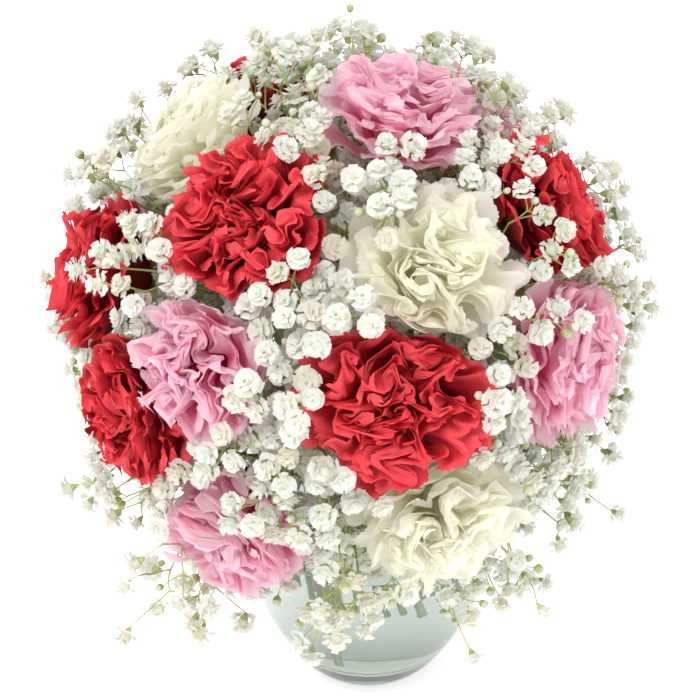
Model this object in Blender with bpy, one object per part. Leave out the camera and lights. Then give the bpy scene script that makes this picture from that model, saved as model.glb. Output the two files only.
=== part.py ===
# Carnations and gypsophila standing in a clear glass vase.
# Metres, +Z up. The origin is the middle of the vase's flat foot, and the front of the bouquet faces -Y.

import math
import random

import bpy
from mathutils import Matrix, Vector

# Vase: (height, radius) along the outside, then along the inside.
VASE_SIDES = 40
VASE_HEIGHT = 0.150
VASE_OUTSIDE = (
    (0.0000, 0.0285),
    (0.0012, 0.0320),
    (0.0040, 0.0362),
    (0.0100, 0.0417),
    (0.0200, 0.0474),
    (0.0350, 0.0542),
    (0.0550, 0.0613),
    (0.0800, 0.0671),
    (0.1100, 0.0708),
    (0.1480, 0.0726),
)
VASE_INSIDE = (
    (0.1485, 0.0696),
    (0.1100, 0.0674),
    (0.0800, 0.0636),
    (0.0550, 0.0576),
    (0.0380, 0.0508),
    (0.0280, 0.0440),
    (0.0215, 0.0340),
    (0.0190, 0.0200),
)
VASE_FLOOR = 0.0185

# The dome of flowers.
DOME_CENTRE = Vector((-0.012, 0.0, 0.224))
GAP = 0.0004

# Carnation heads: (height along the head's axis, radius), from the calyx to the crown.
HEAD_SIDES = 16
HEAD_PROFILE = (
    (-0.0230, 0.0080),
    (-0.0190, 0.0190),
    (-0.0115, 0.0302),
    (-0.0020, 0.0376),
    (0.0075, 0.0390),
    (0.0150, 0.0334),
    (0.0197, 0.0228),
    (0.0222, 0.0106),
)
HEAD_CROWN = 0.0214
HEAD_RUFFLES = 7
HEAD_RUFFLE_DEPTH = 0.07
HEAD_REACH = 0.120
HEAD_SHARE = 0.036
CALYX_PROFILE = ((-0.0250, 0.0026), (-0.0225, 0.0050), (-0.0130, 0.0062), (0.0, 0.0072))
STEM_RADIUS = 0.0022
STEM_SIDES = 7

# Gypsophila: thin stems that open into a cloud of small flowers.
SPRIG_RADIUS = 0.0012
SPRIG_SIDES = 7
CLOUD_RADIUS = 0.034
CLOUD_RINGS = 7
CLOUD_REACH = 0.127
CLOUD_FLOOR = 0.102
CLOUD_SHARE = 0.022

# Where the stems run: gathered at the neck, then spread a little towards their cut ends.
NECK_HEIGHT = 0.118
NECK_RADIUS = 0.031
NECK_TWIST = math.radians(24)
FOOT_SPREAD = 1.02
WIDEST_POLAR = math.radians(112)
CUT_HEIGHTS = (0.070, 0.062, 0.078, 0.066, 0.074)
LONG_STEMS = (5, 12)
LONG_CUT = 0.024
STEM_STEPS = 6

RED = (0.62, 0.035, 0.045, 1.0)
PINK = (0.86, 0.42, 0.58, 1.0)
CREAM = (0.90, 0.87, 0.70, 1.0)
GREEN = (0.20, 0.32, 0.10, 1.0)
OLIVE = (0.80, 0.83, 0.72, 1.0)
GLASS = (0.80, 0.88, 0.85, 1.0)

# Each head: colour, azimuth and polar angle of its place on the dome, then of the way it faces (degrees).
CARNATIONS = (
    ("red", -128, 35, -118, 42),
    ("red", -78, 69, -86, 63),
    ("red", -10, 50, -4, 58),
    ("red", -172, 70, 178, 72),
    ("red", -140, 85, -141, 86),
    ("pink", 0, 12, 20, 12),
    ("pink", -124, 67, -119, 63),
    ("pink", -32, 75, -33, 74),
    ("pink", -115, 109, -108, 89),
    ("cream", -64, 44, -76, 48),
    ("cream", -68, 102, -75, 86),
    ("cream", 174, 34, 168, 44),
    ("red", 118, 60, 114, 64),
    ("pink", 55, 60, 57, 64),
    ("cream", 92, 97, 92, 90),
    ("pink", 150, 88, 150, 86),
    ("red", 30, 90, 30, 88),
)

# Each sprig of gypsophila: azimuth and polar angle of its cloud on the dome (degrees).
SPRIGS = (
    (-152, 16),
    (104, 19),
    (18, 33),
    (-92, 29),
    (-99, 54),
    (-97, 86),
    (-42, 55),
    (-57, 77),
    (-20, 103),
    (6, 78),
    (176, 55),
    (-158, 108),
    (-88, 124),
    (-137, 110),
    (-147, 51),
    (-42, 108),
    (84, 59),
    (140, 58),
    (20, 62),
    (119, 88),
    (66, 88),
    (176, 92),
    (62, 36),
    (128, 36),
)

COLOURS = {"red": RED, "pink": PINK, "cream": CREAM}


def clear_scene():
    for obj in list(bpy.data.objects):
        bpy.data.objects.remove(obj, do_unlink=True)


def material(name, colour, roughness, transmission=0.0):
    made = bpy.data.materials.get(name) or bpy.data.materials.new(name)
    made.use_nodes = True
    made.diffuse_color = colour
    shader = made.node_tree.nodes["Principled BSDF"]
    shader.inputs["Base Color"].default_value = colour
    shader.inputs["Roughness"].default_value = roughness
    shader.inputs["Metallic"].default_value = 0.0
    shader.inputs["Transmission Weight"].default_value = transmission
    return made


def towards(azimuth, polar):
    a, p = math.radians(azimuth), math.radians(polar)
    return Vector((math.sin(p) * math.cos(a), math.sin(p) * math.sin(a), math.cos(p)))


def add_object(name, points, faces, made_of, centre, parent):
    """One object with its origin at centre, from points in world space."""
    mesh = bpy.data.meshes.new(name)
    mesh.from_pydata([p - centre for p in points], [], faces)
    mesh.polygons.foreach_set("use_smooth", [True] * len(mesh.polygons))
    mesh.materials.append(made_of)
    obj = bpy.data.objects.new(name, mesh)
    obj.location = centre
    obj.parent = parent
    bpy.context.collection.objects.link(obj)
    return obj


def skin_rings(rings, last_point=None):
    """Points and faces of a closed skin over rings of equal length, the first one capped flat."""
    sides = len(rings[0])
    points = [p for ring in rings for p in ring]
    faces = [tuple(reversed(range(sides)))]
    for k in range(len(rings) - 1):
        for j in range(sides):
            a, b = k * sides + j, k * sides + (j + 1) % sides
            faces.append((a, b, b + sides, a + sides))
    top = (len(rings) - 1) * sides
    if last_point is None:
        faces.append(tuple(range(top, top + sides)))
        return points, faces
    points.append(last_point)
    for j in range(sides):
        faces.append((top + j, top + (j + 1) % sides, len(points) - 1))
    return points, faces


def ring_round(centre, side, up, radius, sides):
    turns = [2 * math.pi * j / sides for j in range(sides)]
    return [centre + (side * math.cos(t) + up * math.sin(t)) * radius for t in turns]


def frames_along(path):
    """A side and an up vector at each point of a path, turning as little as possible."""
    ways = []
    for k in range(len(path)):
        ways.append((path[min(k + 1, len(path) - 1)] - path[max(k - 1, 0)]).normalized())
    side = ways[0].orthogonal().normalized()
    found = []
    for way in ways:
        side = (side - way * side.dot(way)).normalized()
        found.append((side, way.cross(side)))
    return found


def build_vase(parent):
    glass = material("clear glass", GLASS, 0.03, 1.0)
    profile = VASE_OUTSIDE + ((VASE_HEIGHT, 0.0711),) + VASE_INSIDE
    rings = []
    for height, radius in profile:
        rings.append(ring_round(Vector((0, 0, height)), Vector((1, 0, 0)), Vector((0, 1, 0)), radius, VASE_SIDES))
    points, faces = skin_rings(rings, Vector((0, 0, VASE_FLOOR)))
    add_object("vase", points, faces, glass, Vector((0, 0, 0)), parent)


def neck_point(azimuth, polar, height, foot):
    """Where a stem crosses a level of the vase. Equal shares of the dome get equal shares of the neck."""
    share = (1 - math.cos(math.radians(polar))) / (1 - math.cos(WIDEST_POLAR))
    radius = NECK_RADIUS * math.sqrt(share) * (1 + (FOOT_SPREAD - 1) * foot)
    turn = math.radians(azimuth) + NECK_TWIST * foot
    return Vector((radius * math.cos(turn), radius * math.sin(turn), height))


def stem_path(azimuth, polar, end, facing, cut_height):
    """From the cut end in the water, through the neck, to the point where the head begins."""
    path = []
    for step in range(3):
        foot = 1 - step / 3
        path.append(neck_point(azimuth, polar, cut_height + (NECK_HEIGHT - cut_height) * step / 3, foot))
    start = neck_point(azimuth, polar, NECK_HEIGHT, 0)
    reach = (end - start).length
    flat = Vector((facing.x, facing.y, max(facing.z, -0.15))).normalized()
    rise = Vector((start.x * 8, start.y * 8, 0.5)).normalized()
    first, second = start + rise * reach * 0.45, end - flat * reach * 0.24
    for step in range(STEM_STEPS + 1):
        t = step / STEM_STEPS
        path.append(
            start * (1 - t) ** 3
            + first * 3 * t * (1 - t) ** 2
            + second * 3 * t * t * (1 - t)
            + end * t**3
        )
    return path


def dividing_planes(own, own_size, others):
    """(unit normal, offset) of the planes that part one shape from its neighbours."""
    planes = []
    for centre, size in others:
        apart = centre - own
        distance = apart.length
        if distance < 1e-6:
            continue
        share = (distance**2 + own_size**2 - size**2) / (2 * distance)
        normal = apart / distance
        planes.append((normal, normal.dot(own) + share - GAP / 2))
    return planes


def kept_inside(centre, offset, planes):
    """The offset from centre, shortened until it stays behind every plane."""
    scale = 1.0
    for normal, limit in planes:
        ahead = normal.dot(offset)
        if ahead > 0:
            scale = min(scale, (limit - normal.dot(centre)) / ahead)
    return centre + offset * max(scale, 0.05)


def build_head(name, colour, centre, facing, planes, phase, parent):
    side = facing.orthogonal().normalized()
    up = facing.cross(side)
    rings = []
    for level, (height, radius) in enumerate(HEAD_PROFILE):
        ring = []
        for j in range(HEAD_SIDES):
            turn = 2 * math.pi * j / HEAD_SIDES
            depth = HEAD_RUFFLE_DEPTH * min(level, 3) / 3
            wave = 1 + depth * math.sin(HEAD_RUFFLES * turn + phase + level)
            offset = facing * height + (side * math.cos(turn) + up * math.sin(turn)) * radius * wave
            ring.append(kept_inside(centre, offset, planes) if level else centre + offset)
        rings.append(ring)
    points, faces = skin_rings(rings, centre + facing * HEAD_CROWN)
    made_of = material(colour + " carnation petals", COLOURS[colour], 0.6)
    add_object(name, points, faces, made_of, centre, parent)


def build_stem(name, path, facing, parent):
    top = path[-1]
    path = path[:-1]
    radii = [STEM_RADIUS] * len(path)
    for height, radius in CALYX_PROFILE:
        path.append(top + facing * height)
        radii.append(radius)
    rings = []
    for point, radius, (side, up) in zip(path, radii, frames_along(path)):
        rings.append(ring_round(point, side, up, radius, STEM_SIDES))
    points, faces = skin_rings(rings)
    add_object(name, points, faces, material("green carnation stem", GREEN, 0.5), path[-1], parent)


def build_sprig(name, path, centre, outward, planes, dice, parent):
    frames = frames_along(path)
    rings = []
    for point, (side, up) in zip(path, frames):
        rings.append(ring_round(point, side, up, SPRIG_RADIUS, SPRIG_SIDES))
    side, _ = frames[-1]
    side = (side - outward * side.dot(outward)).normalized()
    up = outward.cross(side)
    for level in range(CLOUD_RINGS):
        polar = math.radians(152) - math.radians(130) * level / (CLOUD_RINGS - 1)
        ring = []
        for j in range(SPRIG_SIDES):
            turn = 2 * math.pi * j / SPRIG_SIDES
            across = side * math.cos(turn) + up * math.sin(turn)
            length = CLOUD_RADIUS * dice.uniform(0.84, 1.0)
            offset = (across * math.sin(polar) + outward * math.cos(polar) * 0.8) * length
            ring.append(kept_inside(centre, offset, planes))
        rings.append(ring)
    points, faces = skin_rings(rings, kept_inside(centre, outward * CLOUD_RADIUS * 0.8, planes))
    add_object(name, points, faces, material("gypsophila", OLIVE, 0.7), centre, parent)


def build_bouquet(parent):
    dice = random.Random(7)
    heads = [(DOME_CENTRE + towards(a, p) * HEAD_REACH, HEAD_SHARE) for _, a, p, _, _ in CARNATIONS]
    clouds = [(DOME_CENTRE + towards(a, p) * CLOUD_REACH, CLOUD_SHARE) for a, p in SPRIGS]
    for number, (colour, azimuth, polar, face_azimuth, face_polar) in enumerate(CARNATIONS, 1):
        centre, size = heads[number - 1]
        facing = towards(face_azimuth, face_polar)
        planes = dividing_planes(centre, size, heads + clouds)
        name = f"carnation_{number:02d}"
        build_head(name + "_petals", colour, centre, facing, planes, number * 1.7, parent)
        top = centre + facing * (HEAD_PROFILE[0][0] - GAP)
        base = top + facing * CALYX_PROFILE[0][0]
        cut = LONG_CUT if number in LONG_STEMS else CUT_HEIGHTS[number % len(CUT_HEIGHTS)]
        path = stem_path(azimuth, polar, base - facing * 0.004, facing, cut)
        build_stem(name + "_stem", path + [top], facing, parent)
    for number, (azimuth, polar) in enumerate(SPRIGS, 1):
        centre, size = clouds[number - 1]
        outward = towards(azimuth, polar)
        planes = dividing_planes(centre, size, heads + clouds)
        planes.append((-outward, -outward.dot(DOME_CENTRE) - CLOUD_FLOOR))
        foot = DOME_CENTRE + outward * (CLOUD_FLOOR - 0.003)
        cut = CUT_HEIGHTS[(number + 2) % len(CUT_HEIGHTS)]
        path = stem_path(azimuth, polar, foot, outward, cut)
        build_sprig(f"gypsophila_{number:02d}", path, centre, outward, planes, dice, parent)


clear_scene()
root = bpy.data.objects.new("carnations_in_a_vase", None)
bpy.context.collection.objects.link(root)
build_vase(root)
build_bouquet(root)
bpy.context.view_layer.update()
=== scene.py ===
import math
import bmesh
import bpy
import numpy as np
from mathutils import Matrix, Vector


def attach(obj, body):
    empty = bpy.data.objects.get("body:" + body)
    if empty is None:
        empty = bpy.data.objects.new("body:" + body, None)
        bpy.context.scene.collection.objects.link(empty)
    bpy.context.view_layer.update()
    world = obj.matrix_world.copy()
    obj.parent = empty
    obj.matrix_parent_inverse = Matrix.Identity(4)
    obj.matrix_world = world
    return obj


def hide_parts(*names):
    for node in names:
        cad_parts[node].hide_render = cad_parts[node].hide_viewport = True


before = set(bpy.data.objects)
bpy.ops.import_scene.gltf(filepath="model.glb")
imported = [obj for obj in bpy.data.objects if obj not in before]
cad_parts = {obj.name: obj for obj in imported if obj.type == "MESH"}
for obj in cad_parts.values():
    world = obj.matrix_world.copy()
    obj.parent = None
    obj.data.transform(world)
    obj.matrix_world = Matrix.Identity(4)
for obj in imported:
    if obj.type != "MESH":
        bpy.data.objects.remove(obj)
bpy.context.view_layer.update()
print("frame loaded")

# Layout, the same as the solid model's. Metres, degrees.
layout = {
    "domeCentre": (-0.012, 0.0, 0.224),
    "headReach": 0.120,
    "headBase": -0.0234,
    "calyxLength": 0.029,
    "neckHeight": 0.118,
    "neckRadius": 0.031,
    "neckTwist": 24,
    "widestPolar": 112,
    "footSpread": 1.02,
    "cutHeights": (0.070, 0.062, 0.078, 0.066, 0.074),
    "longStems": (5, 12),
    "longCut": 0.024,
}
# colour, place on the dome (azimuth, polar), facing (azimuth, polar), how open the head is
carnations = (
    ("red", -128, 35, -118, 42, 1.00),
    ("red", -78, 69, -86, 63, 1.10),
    ("red", -10, 50, -4, 58, 1.05),
    ("red", -172, 70, 178, 72, 1.00),
    ("red", -140, 85, -141, 86, 0.98),
    ("pink", 0, 12, 20, 12, 1.03),
    ("pink", -124, 67, -119, 63, 0.90),
    ("pink", -32, 75, -33, 74, 1.08),
    ("pink", -115, 109, -108, 89, 0.92),
    ("cream", -64, 44, -76, 48, 1.03),
    ("cream", -68, 102, -75, 86, 1.04),
    ("cream", 174, 34, 168, 44, 1.00),
    ("red", 118, 60, 114, 64, 1.00),
    ("pink", 55, 60, 57, 64, 1.00),
    ("cream", 92, 97, 92, 90, 1.02),
    ("pink", 150, 88, 150, 86, 1.00),
    ("red", 30, 90, 30, 88, 0.98),
)
sprigs = (
    (-152, 16), (104, 19), (18, 33), (-92, 29), (-99, 54), (-97, 86), (-42, 55), (-57, 77),
    (-20, 103), (6, 78), (176, 55), (-158, 108), (-88, 124), (-137, 110), (-147, 51), (-42, 108),
    (84, 59), (140, 58), (20, 62), (119, 88), (66, 88), (176, 92),
    (62, 36), (128, 36),
)
domeCentre = Vector(layout["domeCentre"])


def towards(azimuth, polar):
    a, p = math.radians(azimuth), math.radians(polar)
    return Vector((math.sin(p) * math.cos(a), math.sin(p) * math.sin(a), math.cos(p)))


def linkNew(name, mesh):
    obj = bpy.data.objects.new(name, mesh)
    bpy.context.scene.collection.objects.link(obj)
    return obj


def meshFrom(name, points, faces):
    mesh = bpy.data.meshes.new(name)
    mesh.from_pydata([tuple(p) for p in points], [], [tuple(f) for f in faces])
    mesh.polygons.foreach_set("use_smooth", [True] * len(mesh.polygons))
    return mesh


# four-sided cells between rings of points, counted from the first ring's first point
def ringCells(rings, sides, first=0):
    cells = []
    for row in range(rings - 1):
        for k in range(sides):
            b, c = first + row * sides + k, first + row * sides + (k + 1) % sides
            cells.append((b, c, c + sides, b + sides))
    return cells


def unit(v):
    return v / max(np.linalg.norm(v), 1e-9)


def pointAttribute(mesh, name, values):
    made = mesh.attributes.new(name, "FLOAT", "POINT")
    made.data.foreach_set("value", np.asarray(values, dtype=np.float32).ravel())


# materials
def newMaterial(name):
    mat = bpy.data.materials.new(name)
    mat.use_nodes = True
    tree = mat.node_tree
    return mat, tree, tree.nodes["Principled BSDF"], tree.nodes["Material Output"]


def attributeNode(tree, name):
    n = tree.nodes.new("ShaderNodeAttribute")
    n.attribute_name = name
    return n.outputs["Fac"]


def mathNode(tree, operation, a, b=None, c=None):
    n = tree.nodes.new("ShaderNodeMath")
    n.operation = operation
    for socket, value in zip(n.inputs, (a, b, c)):
        if value is None:
            continue
        if isinstance(value, (int, float)):
            socket.default_value = value
        else:
            tree.links.new(value, socket)
    return n.outputs[0]


def rampNode(tree, factor, stops, interpolation="LINEAR"):
    n = tree.nodes.new("ShaderNodeValToRGB")
    n.color_ramp.interpolation = interpolation
    while len(n.color_ramp.elements) < len(stops):
        n.color_ramp.elements.new(0.5)
    for e, (at, colour) in zip(n.color_ramp.elements, stops):
        e.position = at
        e.color = (*colour, 1.0)
    tree.links.new(factor, n.inputs[0])
    return n.outputs[0]


# noise over the piece's own space, or over the given vector
def noiseNode(tree, scale, detail=3.0, roughness=0.55, vector=None):
    n = tree.nodes.new("ShaderNodeTexNoise")
    n.inputs["Scale"].default_value = scale
    n.inputs["Detail"].default_value = detail
    n.inputs["Roughness"].default_value = roughness
    if vector is None:
        vector = tree.nodes.new("ShaderNodeTexCoord").outputs["Object"]
    tree.links.new(vector, n.inputs["Vector"])
    return n.outputs["Fac"]


def multiplied(tree, factor, a, b):
    n = tree.nodes.new("ShaderNodeMix")
    n.data_type = "RGBA"
    n.blend_type = "MULTIPLY"
    n.clamp_result = False
    n.inputs[0].default_value = factor
    tree.links.new(a, n.inputs[6])
    tree.links.new(b, n.inputs[7])
    return n.outputs[2]


def bumpNode(tree, shader, height, strength, distance):
    n = tree.nodes.new("ShaderNodeBump")
    n.inputs["Strength"].default_value = strength
    n.inputs["Distance"].default_value = distance
    tree.links.new(height, n.inputs["Height"])
    tree.links.new(n.outputs[0], shader.inputs["Normal"])


# a share of the light comes through the petal
def letThrough(tree, shader, out, colour, share):
    glow = tree.nodes.new("ShaderNodeBsdfTranslucent")
    glow.inputs["Color"].default_value = (*colour, 1.0)
    mix = tree.nodes.new("ShaderNodeMixShader")
    mix.inputs[0].default_value = share
    tree.links.new(shader.outputs[0], mix.inputs[1])
    tree.links.new(glow.outputs[0], mix.inputs[2])
    tree.links.new(mix.outputs[0], out.inputs["Surface"])


# deep in the folds, over most of the petal, at its margin: partly the petal's own colour, partly painted
# shade deep in the folds (near black on the red) and, on the red, a painted highlight along the margin
petalColours = {
    "red": {
        "deep": (0.085, 0.001, 0.005), "body": (0.48, 0.013, 0.026), "rim": (0.88, 0.072, 0.092),
        "through": (0.72, 0.014, 0.024), "throughShare": 0.12, "sheen": 0.14, "rimAt": 0.99,
    },
    "pink": {
        "deep": (0.94, 0.17, 0.39), "body": (0.975, 0.57, 0.71), "rim": (0.98, 0.89, 0.93),
        "through": (0.985, 0.52, 0.69), "throughShare": 0.56, "sheen": 0.0, "rimAt": 0.93,
    },
    "cream": {
        "deep": (0.985, 0.965, 0.74), "body": (0.99, 0.985, 0.90), "rim": (0.99, 0.99, 0.96),
        "through": (0.993, 0.985, 0.87), "throughShare": 0.66, "sheen": 0.0, "rimAt": 0.93,
    },
}


def petalMaterial(kind):
    c = petalColours[kind]
    mat, tree, shader, out = newMaterial(kind + " carnation petal")
    along = attributeNode(tree, "along")
    tone = attributeNode(tree, "tone")
    uv = tree.nodes.new("ShaderNodeUVMap")
    uv.uv_map = "petalMap"
    veinMap = tree.nodes.new("ShaderNodeMapping")
    veinMap.inputs["Scale"].default_value = (34.0, 1.6, 1.0)
    tree.links.new(uv.outputs[0], veinMap.inputs["Vector"])
    veins = noiseNode(tree, 1.0, 2.0, 0.5, veinMap.outputs[0])
    cloud = noiseNode(tree, 90.0, 3.0)
    wobble = mathNode(tree, "MULTIPLY_ADD", cloud, 0.22, -0.11)
    place = mathNode(tree, "ADD", along, wobble)
    # painted shade at the petal's base, deep in the folds, and a painted highlight along the red margins,
    # laid over the petal's own colour change
    stops = ((0.45, c["deep"]), (c["rimAt"] - 0.19, c["body"]), (c["rimAt"], c["rim"]))
    colour = rampNode(tree, place, stops, "EASE")
    veinShade = rampNode(tree, veins, ((0.30, (0.86, 0.86, 0.86)), (0.62, (1.0, 1.0, 1.0))))
    colour = multiplied(tree, 0.55, colour, veinShade)
    toneShade = rampNode(tree, tone, ((0.0, (0.88, 0.87, 0.86)), (1.0, (1.05, 1.04, 1.03))))
    colour = multiplied(tree, 1.0, colour, toneShade)
    tree.links.new(colour, shader.inputs["Base Color"])
    rough = mathNode(tree, "MULTIPLY_ADD", cloud, 0.18, 0.48)
    tree.links.new(rough, shader.inputs["Roughness"])
    shader.inputs["Sheen Weight"].default_value = c["sheen"]
    shader.inputs["Sheen Tint"].default_value = (*c["rim"], 1.0)
    shader.inputs["Sheen Roughness"].default_value = 0.45
    shader.inputs["Specular IOR Level"].default_value = 0.30
    raised = mathNode(tree, "MULTIPLY", veins, mathNode(tree, "POWER", along, 2.0))
    bumpNode(tree, shader, raised, 0.3, 0.00015)
    letThrough(tree, shader, out, c["through"], c["throughShare"])
    return mat


# carnation heads
headSettings = {
    "petals": 48,
    "across": 46,
    "along": 16,
    "envelopeRadius": 0.0395,
    "envelopeHeight": 0.0262,
    "envelopeMiddle": -0.0045,
    "lowestTip": 99,
    "halfWidth": 0.0160,
    "toothDepth": 0.0012,
    "swirl": 0.0082,
    "swirlSteps": 9,
    "broadWaves": 12,
    "fineWaves": 14,
    "broadLength": (0.013, 0.023),
    "fineLength": (0.0068, 0.0112),
    "fineShare": 0.70,
    "calmFrom": 0.022,
    "calmTo": 0.041,
    "softness": 0.010,
    "neighbourReach": 0.095,
    "borderGap": 0.0006,
    "borderWave": 0.0016,
}


# carries the points along a smooth random flow round the axis, so that neighbouring petals bend together
def swirled(points, share, dice):
    s = headSettings
    steps = s["swirlSteps"]
    few, many = s["broadWaves"], s["fineWaves"]
    waves = few + many
    ways = dice.uniform(0, 2 * math.pi, waves)
    length = np.concatenate([dice.uniform(*s["broadLength"], few), dice.uniform(*s["fineLength"], many)])
    broadSize, fineSize = math.sqrt(2 / few), s["fineShare"] * math.sqrt(2 / many)
    size = np.concatenate([np.full(few, broadSize), np.full(many, fineSize)])
    kx, ky = 2 * math.pi / length * np.cos(ways), 2 * math.pi / length * np.sin(ways)
    kz = dice.normal(0, 45, waves)
    start = dice.uniform(0, 2 * math.pi, waves)
    fine = np.ones((len(points), waves))
    fine[:, few:] = (share**2)[:, None]
    out = points.copy()
    for _ in range(steps):
        phase = out[:, 0, None] * kx + out[:, 1, None] * ky + out[:, 2, None] * kz + start
        wave = np.sin(phase) * size * fine
        outwards = np.hypot(out[:, 0], out[:, 1])
        calm = np.clip((outwards - s["calmFrom"]) / (s["calmTo"] - s["calmFrom"]), 0, 1)
        step = share * (1 - 0.90 * calm * calm * (3 - 2 * calm)) * s["swirl"] / steps
        out[:, 0] += step * (wave @ np.sin(ways))
        out[:, 1] -= step * (wave @ np.cos(ways))
    return out


# points, four-sided cells, and the values along, tone and uv of one head around +Z
def headPetals(opening, seed):
    s = headSettings
    dice = np.random.default_rng(seed)
    nu, nv, count = s["across"], s["along"], s["petals"]
    u = np.linspace(-1.0, 1.0, nu)[None, :]
    v = np.linspace(0.0, 1.0, nv)[:, None]
    points, along, tone, uvs, share = [], [], [], [], []
    for i in range(count):
        f = (i + 0.5) / count
        polar = math.radians(s["lowestTip"]) * f
        azimuth = i * 2.39996 + dice.normal(0, 0.22)
        reach = 1 + dice.normal(0, 0.05 + 0.04 * f)
        rise = math.cos(polar)
        rTip = s["envelopeRadius"] * opening * math.sin(polar) * (reach if f > 0.6 else 1)
        zTip = s["envelopeMiddle"] + (s["envelopeHeight"] if rise > 0 else 0.020) * rise * reach
        r0, z0 = 0.0010 + 0.0040 * f, -0.0210
        length = math.hypot(rTip - r0, zTip - z0)
        curl = polar + math.radians(dice.uniform(0, 55) * (1 - f) + dice.uniform(-4, 30) * f)
        bend = 0.26 + 0.10 * f
        tip = np.array([rTip, zTip])
        back = tip - np.array([math.sin(curl), math.cos(curl)]) * length * bend
        start = np.array([r0, z0])
        lift = start + (back - start) * 0.5 + np.array([-0.0015 + 0.004 * f, 0.003 - 0.010 * f])
        edge = 1.0 - 0.20 * np.abs(u) ** 3 - 0.035 * np.sin(u * 3.7 + dice.uniform(0, 6.28))
        teeth = (np.arange(nu) % 2)[None, :] * dice.uniform(0.2, 1.3, (1, nu))
        teeth = teeth + dice.uniform(-0.4, 0.4, (1, nu))
        t = np.clip(v * edge, 0, 1.1)
        t = t - (v**8) * teeth * s["toothDepth"] / length
        b0, b1, b2, b3 = (1 - t) ** 3, 3 * t * (1 - t) ** 2, 3 * t * t * (1 - t), t**3
        radius = start[0] * b0 + lift[0] * b1 + back[0] * b2 + tip[0] * b3
        height = start[1] * b0 + lift[1] * b1 + back[1] * b2 + tip[1] * b3
        wide = s["halfWidth"] * (0.80 + 0.28 * f) * dice.uniform(0.85, 1.12)
        width = 0.0014 + (wide - 0.0014) * np.clip(t, 0, 1) ** 0.9
        swell = np.clip(t, 0, 1) ** 2
        span = np.minimum(width / np.maximum(radius, 0.0035), 1.9 * np.ones_like(width))
        turn = azimuth + u * span
        # each petal's own ruffles, deeper at the margin
        waves = dice.uniform(1.3, 2.3)
        drift = dice.uniform(0, 6.28)
        ruffle = np.sin(u * waves * math.pi + drift + 0.8 * np.sin(u * 2.4 + dice.uniform(0, 6.28)))
        crinkle = np.sin(u * dice.uniform(11, 15) + dice.uniform(0, 6.28)) * np.clip(t, 0, 1) ** 4
        radius = radius + ruffle * swell * (0.0019 - 0.0006 * f) + crinkle * 0.00045 * (1 - 0.5 * f)
        height = height + (ruffle * (0.0008 + 0.0022 * f) + crinkle * 0.0006 * f) * swell
        grid = np.stack([radius * np.cos(turn), radius * np.sin(turn), height], axis=-1)
        points.append(grid.reshape(-1, 3))
        along.append((0 * u + v).ravel())
        tone.append(np.full(nu * nv, dice.uniform(0, 1)))
        uvs.append(np.stack([(u * 0.5 + 0.5 + 0 * v) + i * 1.37, v + 0 * u], axis=-1).reshape(-1, 2))
        looseness = np.clip((t - 0.10) / 0.75, 0, 1) ** 1.3 * (1.0 - 0.55 * f**2)
        share.append((looseness * np.ones_like(u)).ravel())
    points, share = np.concatenate(points), np.concatenate(share)
    points = swirled(points, share, dice)
    tilt = np.array([dice.uniform(150, 260) for _ in range(6)])
    lift = np.zeros(len(points))
    for k in range(3):
        lift += np.sin(points[:, k % 2] * tilt[k] + points[:, 1 - k % 2] * tilt[-k - 1] + k)
    points[:, 2] += lift * share * 0.0011
    a = np.arange(nv - 1)[:, None] * nu + np.arange(nu - 1)[None, :]
    quad = np.stack([a, a + 1, a + nu + 1, a + nu], axis=-1).reshape(-1, 4)
    quads = np.concatenate([quad + k * nu * nv for k in range(count)])
    return points, quads, np.concatenate(along), np.concatenate(tone), np.concatenate(uvs)


def turnedTo(facing, spin):
    side = facing.orthogonal().normalized()
    up = facing.cross(side)
    base = Matrix((side, up, facing)).transposed()
    return base @ Matrix.Rotation(spin, 3, "Z")


# pushes the points softly back behind a wavy border with each neighbouring head;
# the wider head gets more room
def squeezed(points, number):
    centre, opening = headRooms[number - 1]
    s = headSettings
    soft = s["softness"]
    for other, (otherCentre, otherOpening) in enumerate(headRooms, 1):
        apart = np.array(otherCentre - centre)
        distance = np.linalg.norm(apart)
        if other == number or distance > s["neighbourReach"]:
            continue
        normal = apart / distance
        share = opening**3 / (opening**3 + otherOpening**3)
        x, y, z = points.T
        wave = np.sin(230 * x + 110 * z + other + number)
        wave = wave + np.sin(210 * y - 160 * z) + np.sin(190 * z + 150 * x)
        side = 1 if number < other else -1
        border = distance * share - s["borderGap"] + wave * (side * s["borderWave"])
        over = np.clip((points - np.array(centre)) @ normal - (border - soft), 0, None)
        points = points - np.outer(over - soft * (1 - np.exp(-over / soft)), normal)
    return points


def buildHead(number, kind, centre, facing, opening, mat):
    points, quads, along, tone, uvs = headPetals(opening, 40 + number)
    turn = np.array(turnedTo(facing, number * 1.3))
    points = squeezed(points @ turn.T + np.array(centre), number)
    name = f"carnation_{number:02d}_bloom"
    # each four-sided cell split along its shorter diagonal, so that a twisted one keeps true normals
    acrossFirst = np.linalg.norm(points[quads[:, 0]] - points[quads[:, 2]], axis=1)
    acrossOther = np.linalg.norm(points[quads[:, 1]] - points[quads[:, 3]], axis=1)
    order = np.where((acrossFirst < acrossOther)[:, None], [[0, 1, 2, 0, 2, 3]], [[1, 2, 3, 1, 3, 0]])
    mesh = meshFrom(name, points, np.take_along_axis(quads, order, axis=1).reshape(-1, 3))
    pointAttribute(mesh, "along", along)
    pointAttribute(mesh, "tone", tone)
    uvLayer = mesh.uv_layers.new(name="petalMap")
    loopVerts = np.empty(len(mesh.loops), dtype=np.int32)
    mesh.loops.foreach_get("vertex_index", loopVerts)
    uvLayer.data.foreach_set("uv", uvs[loopVerts].astype(np.float32).ravel())
    mesh.set_sharp_from_angle(angle=math.radians(48))
    mesh.materials.append(mat)
    obj = linkNew(name, mesh)
    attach(obj, "root")
    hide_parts(f"carnation_{number:02d}_petals")


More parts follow.
